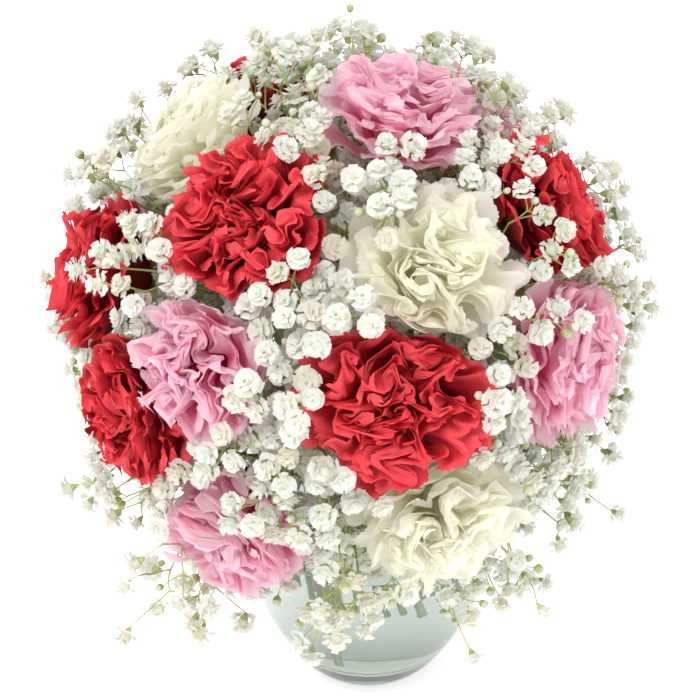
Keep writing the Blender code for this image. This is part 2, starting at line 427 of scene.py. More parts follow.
materials = {kind: petalMaterial(kind) for kind in petalColours}
headCentres = [domeCentre + towards(c[1], c[2]) * layout["headReach"] for c in carnations]
headRooms = [(centre, c[5]) for centre, c in zip(headCentres, carnations)]
headFrames = [
    (np.array(centre), np.array(towards(c[3], c[4])), c[5]) for centre, c in zip(headCentres, carnations)
]
for number, (kind, azimuth, polar, faceAzimuth, facePolar, opening) in enumerate(carnations, 1):
    facing = towards(faceAzimuth, facePolar)
    buildHead(number, kind, headCentres[number - 1], facing, opening, materials[kind])
print("heads made")

# gypsophila
gypsophilaSettings = {
    "clumpTries": 2600,
    "clumpSpacing": 0.0212,
    "clumpRadius": 0.0135,
    "fewest": 6,
    "most": 10,
    "spacing": 0.0100,
    "lowest": 128,
    "nearest": 0.110,
    "furthest": 0.136,
    "strayTo": 0.151,
    "strayShare": 0.24,
    "innerFrom": 0.060,
    "innerTo": 0.111,
    "innerSpacing": 0.0118,
    "overHeads": 0.02,
    "hanging": 38,
    "footReach": 0.099,
    "flowerSize": 1.26,
    "stemSides": 5,
    "stemRadius": 0.0012,
    # room that the flowers leave for a carnation: its radius, its depth above and below, its face
    "headRadius": 0.0375,
    "headAbove": 0.027,
    "headBelow": 0.024,
    "headFace": 0.034,
    # no flower stands lower and nearer to the axis than this
    "vaseTop": 0.158,
    "vaseRadius": 0.084,
}


def greenMaterial(name, young, old, brown):
    mat, tree, shader, _ = newMaterial(name)
    broad = noiseNode(tree, 55.0, 2.0)
    fine = noiseNode(tree, 900.0, 2.0)
    colour = rampNode(tree, broad, ((0.30, old), (0.55, young), (0.72, brown)))
    shade = rampNode(tree, fine, ((0.3, (0.8, 0.8, 0.8)), (0.7, (1.1, 1.1, 1.1))))
    tree.links.new(multiplied(tree, 0.8, colour, shade), shader.inputs["Base Color"])
    tree.links.new(mathNode(tree, "MULTIPLY_ADD", fine, 0.2, 0.42), shader.inputs["Roughness"])
    return mat


def whiteFlowerMaterial():
    mat, tree, shader, out = newMaterial("gypsophila petal")
    along = attributeNode(tree, "along")
    tone = attributeNode(tree, "tone")
    cloud = noiseNode(tree, 420.0, 2.0)
    stops = ((0.20, (0.55, 0.60, 0.30)), (0.45, (0.80, 0.82, 0.70)), (0.80, (0.86, 0.87, 0.835)))
    colour = rampNode(tree, along, stops)
    stops = ((0.0, (0.93, 0.84, 0.78)), (0.14, (0.97, 0.95, 0.89)), (0.5, (1.0, 1.0, 1.0)))
    colour = multiplied(tree, 1.0, colour, rampNode(tree, tone, stops))
    dust = rampNode(tree, cloud, ((0.35, (0.93, 0.94, 0.92)), (0.6, (1.0, 1.0, 1.0))))
    tree.links.new(multiplied(tree, 0.8, colour, dust), shader.inputs["Base Color"])
    tree.links.new(mathNode(tree, "MULTIPLY_ADD", cloud, 0.15, 0.55), shader.inputs["Roughness"])
    shader.inputs["Specular IOR Level"].default_value = 0.25
    letThrough(tree, shader, out, (0.93, 0.94, 0.89), 0.42)
    return mat


# a double white flower on a green calyx, its middle at the origin, facing +Z
def smallFlower(seed):
    dice = np.random.default_rng(seed)
    points, quads, along, green = [], [], [], []
    # how far along the petal, half width there, reach of its middle against its sides
    outline = ((0.45, 0.66, 1.0), (0.97, 0.94, 1.09))
    lowestPetals = 102 if seed % 2 else 86
    # how many petals, how far they lean out, where their tips end, half their width
    whorls = (
        (8, lowestPetals, 0.0044, 0.0019), (7, 66, 0.0047, 0.0018),
        (5, 40, 0.0048, 0.0017), (3, 14, 0.0046, 0.0014),
    )
    base = np.array([0.0, 0.0, -0.0018])
    for count, polar, length, wide in whorls:
        for k in range(count):
            a = 2 * math.pi * (k + dice.uniform(-0.2, 0.2)) / count + polar
            p = math.radians(polar + dice.normal(0, 8))
            size = length * dice.uniform(0.86, 1.10)
            out = np.array([math.cos(a), math.sin(a), 0.0])
            side = np.array([-math.sin(a), math.cos(a), 0.0])
            up = np.array([0.0, 0.0, 1.0])
            tip = (out * math.sin(p) + up * math.cos(p)) * size
            bow = (out * math.sin(p - 0.50) + up * math.cos(p - 0.50)) * size * 0.86
            fold = dice.choice((-1, 1)) * dice.uniform(0.3, 1.0)
            start = len(points)
            for t, spread, notch in outline:
                for col in (-1, 0, 1):
                    f = t * (notch if col == 0 else 1.0) * dice.uniform(0.96, 1.04)
                    q = base * (1 - f) ** 2 + bow * 2 * f * (1 - f) + tip * f * f
                    lift = 0.0006 * fold * abs(col) * t + dice.normal(0, 0.00022) * t
                    points.append(q + side * col * wide * spread * dice.uniform(0.9, 1.1) + up * lift)
                    along.append(t)
                    green.append(0.0)
            for b in (start, start + 1):
                quads.append((b, b + 1, b + 4, b + 3))
    # the calyx below, then a white core that closes the middle
    calyx = ((-0.0032, 0.0004), (-0.0026, 0.0008), (-0.0018, 0.0011), (-0.0009, 0.0016))
    core = ((0.0006, 0.0023), (0.0022, 0.0019), (0.0031, 0.0007))
    start = len(points)
    for z, r in calyx + core:
        for k in range(5):
            a = 2 * math.pi * k / 5
            points.append(np.array([r * math.cos(a), r * math.sin(a), z]))
            along.append(0.5)
            green.append(1.0 if z < 0 else 0.0)
    quads += ringCells(len(calyx) + len(core), 5, start)
    return points, quads, along, green


# a closed bud, green below and white at its tip
def smallBud(seed):
    dice = np.random.default_rng(seed)
    points, along, green = [], [], []
    rings = ((-0.0020, 0.0004), (-0.0013, 0.0013), (-0.0001, 0.0018), (0.0010, 0.0015), (0.0018, 0.0007))
    for z, r in rings:
        for k in range(6):
            a = 2 * math.pi * k / 6
            points.append(np.array([r * math.cos(a), r * math.sin(a), z]) * dice.uniform(0.97, 1.03))
            along.append(0.30 + 90 * z)
            green.append(1.0 if z < 0.0002 else 0.0)
    # its tip is closed with two flat cells
    quads = ringCells(len(rings), 6) + [(24, 25, 26, 27), (24, 27, 28, 29)]
    return points, quads, along, green


def flowerPattern(name, shape):
    points, quads, along, green = shape
    mesh = meshFrom(name, points, quads)
    pointAttribute(mesh, "along", along)
    pointAttribute(mesh, "green", green)
    return linkNew(name, mesh)


def newTree(name, sockets):
    tree = bpy.data.node_groups.new(name, "GeometryNodeTree")
    tree.interface.new_socket("Geometry", in_out="OUTPUT", socket_type="NodeSocketGeometry")
    made = {}
    tree.interface.new_socket("Geometry", in_out="INPUT", socket_type="NodeSocketGeometry")
    for label, kind, value in sockets:
        socket = tree.interface.new_socket(label, in_out="INPUT", socket_type=kind)
        if value is not None:
            socket.default_value = value
        made[label] = socket.identifier
    return tree, made, tree.nodes.new("NodeGroupInput"), tree.nodes.new("NodeGroupOutput")


def namedValue(tree, kind, label):
    n = tree.nodes.new("GeometryNodeInputNamedAttribute")
    n.data_type = kind
    n.inputs["Name"].default_value = label
    return n.outputs["Attribute"]


def product(tree, a, b):
    n = tree.nodes.new("ShaderNodeMath")
    n.operation = "MULTIPLY"
    tree.links.new(a, n.inputs[0])
    tree.links.new(b, n.inputs[1])
    return n.outputs[0]


def painted(tree, geometry, material):
    n = tree.nodes.new("GeometryNodeSetMaterial")
    tree.links.new(geometry, n.inputs["Geometry"])
    tree.links.new(material, n.inputs["Material"])
    return n


# one flower or bud on each point, turned and sized by the point's own values
def flowerTree(patterns):
    sockets = (
        ("Size", "NodeSocketFloat", 1.0),
        ("Petal material", "NodeSocketMaterial", None),
        ("Calyx material", "NodeSocketMaterial", None),
    )
    tree, names, given, result = newTree("flowers on stems", sockets)
    new, link = tree.nodes.new, tree.links.new
    join = new("GeometryNodeJoinGeometry")
    for pattern in reversed(patterns):
        info = new("GeometryNodeObjectInfo")
        info.inputs["Object"].default_value = pattern
        info.inputs["As Instance"].default_value = True
        link(info.outputs["Geometry"], join.inputs[0])
    place = new("GeometryNodeInstanceOnPoints")
    place.inputs["Pick Instance"].default_value = True
    link(given.outputs["Geometry"], place.inputs["Points"])
    link(join.outputs[0], place.inputs["Instance"])
    link(namedValue(tree, "INT", "kind"), place.inputs["Instance Index"])
    link(namedValue(tree, "FLOAT_VECTOR", "turn"), place.inputs["Rotation"])
    size = product(tree, namedValue(tree, "FLOAT", "size"), given.outputs["Size"])
    link(size, place.inputs["Scale"])
    real = new("GeometryNodeRealizeInstances")
    link(place.outputs[0], real.inputs[0])
    petal = painted(tree, real.outputs[0], given.outputs["Petal material"])
    calyx = painted(tree, petal.outputs[0], given.outputs["Calyx material"])
    isGreen = new("FunctionNodeCompare")
    isGreen.data_type = "FLOAT"
    isGreen.operation = "GREATER_THAN"
    link(namedValue(tree, "FLOAT", "green"), isGreen.inputs[0])
    isGreen.inputs[1].default_value = 0.6
    link(isGreen.outputs[0], calyx.inputs["Selection"])
    link(calyx.outputs[0], result.inputs[0])
    return tree, names


# a round stem along every line, as thick as the line's points say
def stemTree():
    sockets = (
        ("Sides", "NodeSocketInt", 5),
        ("Thickness", "NodeSocketFloat", 1.0),
        ("Stem material", "NodeSocketMaterial", None),
    )
    tree, names, given, result = newTree("thin stems", sockets)
    new, link = tree.nodes.new, tree.links.new
    curve = new("GeometryNodeMeshToCurve")
    link(given.outputs["Geometry"], curve.inputs[0])
    radius = new("GeometryNodeSetCurveRadius")
    link(curve.outputs[0], radius.inputs["Curve"])
    thick = product(tree, namedValue(tree, "FLOAT", "thick"), given.outputs["Thickness"])
    link(thick, radius.inputs["Radius"])
    circle = new("GeometryNodeCurvePrimitiveCircle")
    circle.inputs["Radius"].default_value = 1.0
    link(given.outputs["Sides"], circle.inputs["Resolution"])
    sweep = new("GeometryNodeCurveToMesh")
    sweep.inputs["Fill Caps"].default_value = True
    link(radius.outputs[0], sweep.inputs["Curve"])
    link(circle.outputs["Curve"], sweep.inputs["Profile Curve"])
    if "Scale" in sweep.inputs:
        link(thick, sweep.inputs["Scale"])
    smooth = new("GeometryNodeSetShadeSmooth")
    link(sweep.outputs[0], smooth.inputs["Geometry"])
    real = new("GeometryNodeRealizeInstances")
    link(smooth.outputs[0], real.inputs[0])
    paint = painted(tree, real.outputs[0], given.outputs["Stem material"])
    link(paint.outputs[0], result.inputs[0])
    return tree, names


# the mesh that the tree makes of source, as a plain object
def grown(source, name, tree, names, values):
    modifier = source.modifiers.new("shape", "NODES")
    modifier.node_group = tree
    for label, value in values.items():
        modifier[names[label]] = value
    bpy.context.view_layer.update()
    graph = bpy.context.evaluated_depsgraph_get()
    mesh = bpy.data.meshes.new_from_object(source.evaluated_get(graph))
    bpy.data.objects.remove(source, do_unlink=True)
    mesh.name = name
    mesh.polygons.foreach_set("use_smooth", [True] * len(mesh.polygons))
    return linkNew(name, mesh)


# the stems' middle lines as loose edges, with a stem's radius at each point
def middleLines(lines, widths):
    mesh = bpy.data.meshes.new("lines")
    edges, first = [], 0
    for path in lines:
        edges += [(first + k, first + k + 1) for k in range(len(path) - 1)]
        first += len(path)
    mesh.from_pydata([tuple(p) for p in np.concatenate(lines)], edges, [])
    pointAttribute(mesh, "thick", np.concatenate(widths))
    return linkNew("lines", mesh)


# whether a flower at p would sit inside a carnation, or stand over one's face
def againstHeads(p, margin):
    s = gypsophilaSettings
    over = False
    for centre, face, opening in headFrames:
        rel = p - centre
        h = rel @ face
        r = np.linalg.norm(rel - h * face)
        deep = s["headAbove"] if h > -0.004 else s["headBelow"]
        if (r / (s["headRadius"] * opening + margin)) ** 2 + ((h + 0.004) / (deep + margin)) ** 2 < 1.0:
            return True, over
        if h > 0 and r < s["headFace"] * opening:
            over = True
    return False, over


def clearOf(p, others, distance):
    return not others or np.min(np.sum((np.array(others) - p) ** 2, axis=1)) > distance**2


# even directions over the dome, in a mixed order
def domeDirections(n, lowest, dice):
    for i in dice.permutation(n):
        z = 1 - (i + 0.5) / n * (1 - math.cos(math.radians(lowest)))
        a = i * 2.39996
        yield np.array([math.cos(a) * math.sqrt(1 - z * z), math.sin(a) * math.sqrt(1 - z * z), z])


def nearVase(p):
    s = gypsophilaSettings
    return p[2] < s["vaseTop"] and math.hypot(p[0], p[1]) < s["vaseRadius"]


# clumps of flowers in the gaps between the carnations, and single ones deeper in
def flowerClumps():
    s = gypsophilaSettings
    dice = np.random.default_rng(11)
    centre = np.array(domeCentre)
    middles, taken, clumps = [], [], []
    for d in domeDirections(s["clumpTries"], s["lowest"], dice):
        reach = s["nearest"] + (s["furthest"] - s["nearest"]) * dice.beta(2.0, 1.6)
        stray = dice.random() < s["strayShare"]
        if stray:
            reach = dice.uniform(s["furthest"], s["strayTo"] - 0.003)
        middle = centre + d * reach
        blocked, over = againstHeads(middle, -0.004)
        crowded = not clearOf(middle, middles, s["clumpSpacing"])
        if blocked or (over and dice.random() > s["overHeads"]) or crowded:
            continue
        # fewer clumps low down at the left and right
        lowSide = d[2] < 0.1 and abs(d[0]) > 0.45
        if lowSide and dice.random() < 0.40:
            continue
        middles.append(middle)
        found = []
        wanted = int(dice.integers(2, 5)) if stray else int(dice.integers(s["fewest"], s["most"] + 1))
        for _ in range(90):
            offset = dice.normal(0, 1, 3)
            offset *= s["clumpRadius"] * dice.uniform(0.2, 1.0) / np.linalg.norm(offset)
            offset -= d * (offset @ d) * 0.45
            p = middle + offset - d * (offset @ offset) * 12
            blocked, over = againstHeads(p, 0.0028)
            if blocked or (over and dice.random() > 0.06) or nearVase(p):
                continue
            if np.linalg.norm(p - centre) < s["strayTo"] and clearOf(p, taken, s["spacing"]):
                found.append(p)
                taken.append(p)
            if len(found) == wanted:
                break
        if found:
            clumps.append((np.array(found), d))
    # loose sprays that hang past the lowest carnations
    for _ in range(s["hanging"]):
        azimuth = dice.uniform(-148, -38) if dice.random() < 0.6 else dice.uniform(-180, 180)
        d = np.array(towards(azimuth, dice.uniform(108, 131)))
        middle = centre + d * dice.uniform(0.138, 0.152)
        if againstHeads(middle, 0.0)[0] or nearVase(middle) or not clearOf(middle, middles, 0.016):
            continue
        middles.append(middle)
        found = []
        for _ in range(30):
            p = middle + dice.normal(0, 0.0100, 3)
            if clearOf(p, taken, s["spacing"]) and not againstHeads(p, 0.002)[0] and not nearVase(p):
                found.append(p)
                taken.append(p)
            if len(found) == 4:
                break
        if found:
            clumps.append((np.array(found), d))
    inner = []
    for d in domeDirections(2 * s["clumpTries"], s["lowest"] + 8, dice):
        p = centre + d * dice.uniform(s["innerFrom"], s["innerTo"])
        if againstHeads(p, 0.001)[0] or nearVase(p) or not clearOf(p, inner, s["innerSpacing"]):
            continue
        inner.append(p)
    print("gypsophila flowers:", len(taken), "outside,", len(inner), "inside, in", len(clumps), "clumps")
    left = list(range(len(inner)))
    inner = np.array(inner)
    while left:
        first = left[0]
        near = [j for j in left if np.linalg.norm(inner[j] - inner[first]) < 0.024][:5]
        d = inner[near].mean(axis=0) - centre
        clumps.append((inner[near], d / np.linalg.norm(d)))
        left = [j for j in left if j not in near]
    return clumps


def bentLine(a, b, sag, steps):
    t = np.linspace(0, 1, steps + 1)[:, None]
    middle = (a + b) / 2 + sag
    return a * (1 - t) ** 2 + 2 * middle * t * (1 - t) + b * t * t


def turnTowards(way, spin):
    q = Vector(way).to_track_quat("Z", "Y")
    return tuple((q.to_matrix() @ Matrix.Rotation(spin, 3, "Z")).to_euler())


# neighbours two by two, the last one alone if they are odd
def paired(points):
    left = list(range(len(points)))
    while left:
        first = left.pop(0)
        if not left:
            yield [first]
            return
        other = min(left, key=lambda j: np.sum((points[j] - points[first]) ** 2))
        left.remove(other)
        yield [first, other]


def buildSprig(index, clumps, flowerMaker, paints):
    s = gypsophilaSettings
    number = index + 1
    dice = np.random.default_rng(300 + number)
    centre = np.array(domeCentre)
    azimuth, polar = sprigs[index]
    axis = np.array(towards(azimuth, polar))
    root = centre + axis * s["footReach"]
    lines, widths = [], []
    spots, turns, kinds, sizes, tones = [], [], [], [], []

    def addLine(path, thickFrom, thickTo):
        thick = np.linspace(thickFrom, thickTo, len(path))
        thick[0] *= 1.5
        lines.append(path)
        widths.append(thick)

    def addFlower(p, way, kind, size):
        spots.append(p)
        turns.append(turnTowards(way, dice.uniform(0, 6.28)))
        kinds.append(kind)
        sizes.append(size)
        tones.append(dice.random())

    cut = layout["cutHeights"][(number + 2) % len(layout["cutHeights"])]
    route = stemRoute(azimuth, polar, root - axis * 0.014, axis, cut)
    path = evenly(route, 0.006)[0]
    addLine(path, s["stemRadius"], s["stemRadius"] * 0.72)
    below = path[-1]
    for flowers, d in clumps:
        middle = flowers.mean(axis=0)
        joint = middle - unit(d * 0.8 + unit(middle - below) * 0.5) * dice.uniform(0.014, 0.019)
        if np.linalg.norm(joint - centre) < 0.070:
            joint = middle - d * 0.008
        addLine(bentLine(below, joint, d * 0.003 + dice.normal(0, 0.002, 3), 5), 0.00062, 0.00046)
        for pair in paired(flowers):
            between = flowers[pair].mean(axis=0)
            fork = joint + (between - joint) * dice.uniform(0.42, 0.60) + dice.normal(0, 0.0012, 3)
            addLine(bentLine(joint, fork, dice.normal(0, 0.0012, 3), 3), 0.00042, 0.00038)
            for j in pair:
                p = flowers[j]
                size = dice.uniform(0.84, 1.12)
                way = unit(unit(p - fork) * 0.65 + d * 0.75 + dice.normal(0, 0.26, 3))
                foot = p - way * 0.0031 * size * s["flowerSize"]
                addLine(bentLine(fork, foot, dice.normal(0, 0.0012, 3), 3), 0.00034, 0.00029)
                addFlower(p, way, int(dice.integers(0, 4)), size)
            if dice.random() < 0.62:
                way = unit(d + dice.normal(0, 0.6, 3))
                end = fork + way * dice.uniform(0.006, 0.014)
                if not againstHeads(end, 0.001)[0]:
                    shoot = bentLine(fork, end - way * 0.0024, dice.normal(0, 0.0010, 3), 3)
                    addLine(shoot, 0.00031, 0.00026)
                    addFlower(end, way, 4 + int(dice.integers(0, 2)), dice.uniform(0.7, 1.15))
        # a thin shoot with a bud, past the flowers
        if dice.random() < 0.40:
            way = unit(d + dice.normal(0, 0.42, 3))
            end = joint + way * dice.uniform(0.020, 0.031)
            if np.linalg.norm(end - centre) < s["strayTo"] + 0.003 and not againstHeads(end, 0.001)[0]:
                shoot = bentLine(joint, end - way * 0.0024, dice.normal(0, 0.0020, 3), 4)
                addLine(shoot, 0.00036, 0.00027)
                addFlower(end, way, 4 + int(dice.integers(0, 2)), dice.uniform(0.7, 1.1))
    settings = {"Sides": s["stemSides"], "Thickness": 1.0, "Stem material": paints["stem"]}
    stems = grown(middleLines(lines, widths), f"gypsophila_{number:02d}_branches", *stemMaker, settings)
    pieces = [stems]
    if spots:
        cloud = bpy.data.meshes.new("spots")
        cloud.from_pydata([tuple(p) for p in spots], [], [])
        turnData = cloud.attributes.new("turn", "FLOAT_VECTOR", "POINT")
        turnData.data.foreach_set("vector", np.array(turns, dtype=np.float32).ravel())
        kindData = cloud.attributes.new("kind", "INT", "POINT")
        kindData.data.foreach_set("value", np.array(kinds, dtype=np.int32))
        pointAttribute(cloud, "size", sizes)
        pointAttribute(cloud, "tone", tones)
        settings = {
            "Size": s["flowerSize"],
            "Petal material": paints["petal"],
            "Calyx material": paints["calyx"],
        }
        name = f"gypsophila_{number:02d}_flowers"
        pieces.append(grown(linkNew("spots", cloud), name, *flowerMaker, settings))
    for obj in pieces:
        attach(obj, "root")
    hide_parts(f"gypsophila_{number:02d}")


def buildGypsophila():
    stemGreens = ((0.44, 0.50, 0.14), (0.26, 0.34, 0.10), (0.24, 0.19, 0.10))
    calyxGreens = ((0.46, 0.54, 0.17), (0.20, 0.28, 0.08), (0.12, 0.14, 0.05))
    paints = {
        "stem": greenMaterial("gypsophila stem", *stemGreens),
        "calyx": greenMaterial("gypsophila calyx", *calyxGreens),
        "petal": whiteFlowerMaterial(),
    }
    patterns = [flowerPattern(f"pattern{k}", smallFlower(70 + k)) for k in range(4)]
    patterns += [flowerPattern(f"pattern{k}", smallBud(80 + k)) for k in (4, 5)]
    flowerMaker = flowerTree(patterns)
    axes = np.array([towards(a, p) for a, p in sprigs])
    mine = [[] for _ in sprigs]
    for flowers, d in flowerClumps():
        mine[int(np.argmax(axes @ d))].append((flowers, d))
    for index in range(len(sprigs)):
        buildSprig(index, mine[index], flowerMaker, paints)
    for pattern in patterns:
        bpy.data.objects.remove(pattern, do_unlink=True)


# stems, calyxes and leaves
stemSettings = {
    "radius": 0.0019,
    "sides": 9,
    "pointEvery": 0.0035,
    "nodeEvery": 0.047,
    "nodeSwell": 0.40,
    "calyxSides": 20,
    "leafLength": 0.052,
    "leafWidth": 0.0052,
    "leafPairs": 4,
    "leavesFrom": 0.045,
    "leavesEvery": 0.013,
    # height and radius from the petals' base
    "calyx": (
        (-0.0262, 0.0021), (-0.0252, 0.0042), (-0.0225, 0.0056), (-0.0150, 0.0062),
        (-0.0060, 0.0069), (0.0005, 0.0076), (0.0042, 0.0086),
    ),
    "calyxScales": ((-0.0268, 0.0022), (-0.0256, 0.0048), (-0.0225, 0.0061), (-0.0170, 0.0068)),
}


def neckPoint(azimuth, polar, height, foot):
    share = (1 - math.cos(math.radians(polar))) / (1 - math.cos(math.radians(layout["widestPolar"])))
    radius = layout["neckRadius"] * math.sqrt(share) * (1 + (layout["footSpread"] - 1) * foot)
    turn = math.radians(azimuth + layout["neckTwist"] * foot)
    return np.array([radius * math.cos(turn), radius * math.sin(turn), height])


# the stem's middle line, from its cut end in the water to its end under the flower
def stemRoute(azimuth, polar, end, facing, cutHeight):
    low = neckPoint(azimuth, polar, cutHeight, 1)
    start = neckPoint(azimuth, polar, layout["neckHeight"], 0)
    end, facing = np.array(end), np.array(facing)
    reach = np.linalg.norm(end - start)
    flat = np.array([facing[0], facing[1], max(facing[2], -0.15)])
    rise = np.array([start[0] * 8, start[1] * 8, 0.5])
    first = start + unit(rise) * reach * 0.45
    second = end - unit(flat) * reach * 0.24
    t = np.linspace(0, 1, 25)[:, None]
    curve = start * (1 - t) ** 3 + first * 3 * t * (1 - t) ** 2 + second * 3 * t * t * (1 - t) + end * t**3
    below = low + (start - low) * np.linspace(0, 1, 9)[:-1, None]
    return np.concatenate([below, curve])


# the route again with points an equal way apart, and how far along each one is
def evenly(route, spacing):
    run = np.concatenate([[0], np.cumsum(np.linalg.norm(np.diff(route, axis=0), axis=1))])
    at = np.linspace(0, run[-1], max(int(run[-1] / spacing), 4))
    return np.stack([np.interp(at, run, route[:, k]) for k in range(3)], axis=1), at


# an open turned skin; its last ring is cut into teeth
def lathe(profile, sides, place, turn, teeth, toothDepth):
    points = []
    for row, (height, radius) in enumerate(profile):
        for k in range(sides):
            a = 2 * math.pi * k / sides
            tooth = toothDepth * abs(math.cos(teeth * a / 2)) if row == len(profile) - 1 else 0.0
            rib = 1 + 0.025 * math.cos(5 * a)
            x, y = radius * rib * math.cos(a), radius * rib * math.sin(a)
            points.append(np.array([x, y, height - tooth]))
    return np.array(points) @ turn.T + place, ringCells(len(profile), sides)


# a narrow folded leaf that leaves the stem and bends away from it
def leafStrip(start, along, outward, length, width, droop):
    points, quads = [], []
    side = np.cross(along, outward)
    rows = 12
    for row in range(rows + 1):
        t = row / rows
        lean = 0.25 + droop * t
        way = along * math.cos(lean) + outward * math.sin(lean)
        spine = start + way * length * t
        across = width * (0.35 + 0.65 * math.sin(math.pi * min(t * 1.25 + 0.1, 1))) * (1 - t**3) + 0.0002
        up = outward * math.cos(lean) - along * math.sin(lean)
        for col in (-1, 0, 1):
            points.append(spine + side * col * across * 0.5 + up * abs(col) * across * 0.22)
    for row in range(rows):
        for col in range(2):
            b = row * 3 + col
            quads.append((b, b + 1, b + 4, b + 3))
    return np.array(points), quads


def buildStem(number, azimuth, polar, centre, facing, stemMaker, mat):
    s = stemSettings
    dice = np.random.default_rng(500 + number)
    facing, centre = np.array(facing), np.array(centre)
    top = centre + facing * layout["headBase"]
    end = top - facing * layout["calyxLength"]
    cut = layout["cutHeights"][number % len(layout["cutHeights"])]
    if number in layout["longStems"]:
        cut = layout["longCut"]
    route = np.concatenate([stemRoute(azimuth, polar, end, facing, cut), [top - facing * 0.022]])
    path, at = evenly(route, s["pointEvery"])
    offset = dice.uniform(0, s["nodeEvery"])
    near = np.abs((at - offset + s["nodeEvery"] / 2) % s["nodeEvery"] - s["nodeEvery"] / 2)
    swell = 1 + s["nodeSwell"] * np.exp(-((near / 0.0032) ** 2))
    thick = s["radius"] * swell * (1.0 - 0.12 * at / at[-1])
    settings = {"Sides": s["sides"], "Thickness": 1.0, "Stem material": mat}
    obj = grown(middleLines([path], [thick]), f"carnation_{number:02d}_greenery", *stemMaker, settings)
    turn = np.array(turnedTo(Vector(facing), number * 0.7))
    shells = [
        lathe(s["calyx"], s["calyxSides"], top, turn, 5, 0.0034),
        lathe(s["calyxScales"], s["calyxSides"], top, turn, 4, 0.0045),
    ]
    for k in range(s["leafPairs"]):
        back = s["leavesFrom"] + s["leavesEvery"] * k
        index = int(len(path) - 1 - round(back / s["pointEvery"]))
        way = unit(path[index + 1] - path[index - 1])
        outward = unit(np.cross(way, dice.normal(0, 1, 3)))
        for sign in (1, -1):
            length = s["leafLength"] * dice.uniform(0.6, 0.9)
            width = s["leafWidth"] * dice.uniform(0.8, 1.1)
            droop = dice.uniform(0.2, 0.7)
            shells.append(leafStrip(path[index], way, outward * sign, length, width, droop))
    points, quads, base = [], [], 0
    for shell, faces in shells:
        points.append(shell)
        quads += [tuple(base + i for i in f) for f in faces]
        base += len(shell)
    added = meshFrom("added", np.concatenate(points), quads)
    added.materials.append(mat)
    joined(obj, added)
    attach(obj, "root")
    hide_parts(f"carnation_{number:02d}_stem")


# adds a mesh's faces to an object's own mesh
def joined(obj, added):
    work = bmesh.new()
    work.from_mesh(obj.data)
    work.from_mesh(added)
    work.to_mesh(obj.data)
    work.free()
    bpy.data.meshes.remove(added)


stemMaker = stemTree()
leafGreens = ((0.55, 0.66, 0.32), (0.36, 0.49, 0.22), (0.42, 0.50, 0.28))
carnationGreen = greenMaterial("carnation stem and leaf", *leafGreens)
for number, (kind, azimuth, polar, faceAzimuth, facePolar, opening) in enumerate(carnations, 1):
    facing = towards(faceAzimuth, facePolar)
    buildStem(number, azimuth, polar, headCentres[number - 1], facing, stemMaker, carnationGreen)
print("stems made")

buildGypsophila()
print("gypsophila made")

# vase and water
vaseSettings = {
    "segments": 128,
    "outside": (
        (0.0000, 0.0285), (0.0012, 0.0320), (0.0040, 0.0362), (0.0100, 0.0417), (0.0200, 0.0474),
        (0.0350, 0.0542), (0.0550, 0.0613), (0.0800, 0.0671), (0.1100, 0.0708), (0.1480, 0.0726),
    ),
    "inside": (
        (0.1485, 0.0696), (0.1100, 0.0674), (0.0800, 0.0636), (0.0550, 0.0576), (0.0380, 0.0508),
        (0.0280, 0.0440), (0.0215, 0.0340), (0.0190, 0.0200),
    ),
    "floorHeight": 0.0185,
    "rimHeight": 0.150,
    "waterLevel": 0.112,
    "glassTint": (0.975, 0.985, 0.98),
    "glassDepth": ((0.63, 0.68, 0.61), 70.0),
    "waterTint": (0.985, 0.99, 0.99),
    "waterDepth": ((0.905, 0.925, 0.92), 36.0),
}


# more points between the given ones, on a curve that passes through them all
def smoothProfile(points, between):
    p = np.array(points)
    p = np.concatenate([[2 * p[0] - p[1]], p, [2 * p[-1] - p[-2]]])
    out = []
    for k in range(1, len(p) - 2):
        for j in range(between):
            t = j / between
            a, b, c, d = p[k - 1], p[k], p[k + 1], p[k + 2]
            second = (2 * a - 5 * b + 4 * c - d) * t**2
            third = (3 * b - a - 3 * c + d) * t**3
            out.append(0.5 * (2 * b + (c - a) * t + second + third))
    out.append(p[-2])
    return [tuple(q) for q in out]


# a closed body turned round the vase's axis; the profile runs from the axis to the axis
def turnedBody(name, profile, segments):
    points, faces = [(0.0, 0.0, profile[0][0])], []
    rings = profile[1:-1]
    for height, radius in rings:
        for k in range(segments):
            a = 2 * math.pi * k / segments
            points.append((radius * math.cos(a), radius * math.sin(a), height))
    points.append((0.0, 0.0, profile[-1][0]))
    last = len(points) - 1
    for k in range(segments):
        n = (k + 1) % segments
        faces.append((0, 1 + n, 1 + k))
        for row in range(len(rings) - 1):
            b = 1 + row * segments
            faces.append((b + k, b + n, b + n + segments, b + k + segments))
        b = 1 + (len(rings) - 1) * segments
        faces.append((b + k, b + n, last))
    mesh = meshFrom(name, points, faces)
    work = bmesh.new()
    work.from_mesh(mesh)
    bmesh.ops.recalc_face_normals(work, faces=work.faces)
    work.to_mesh(mesh)
    work.free()
    mesh.set_sharp_from_angle(angle=math.radians(50))
    return linkNew(name, mesh)


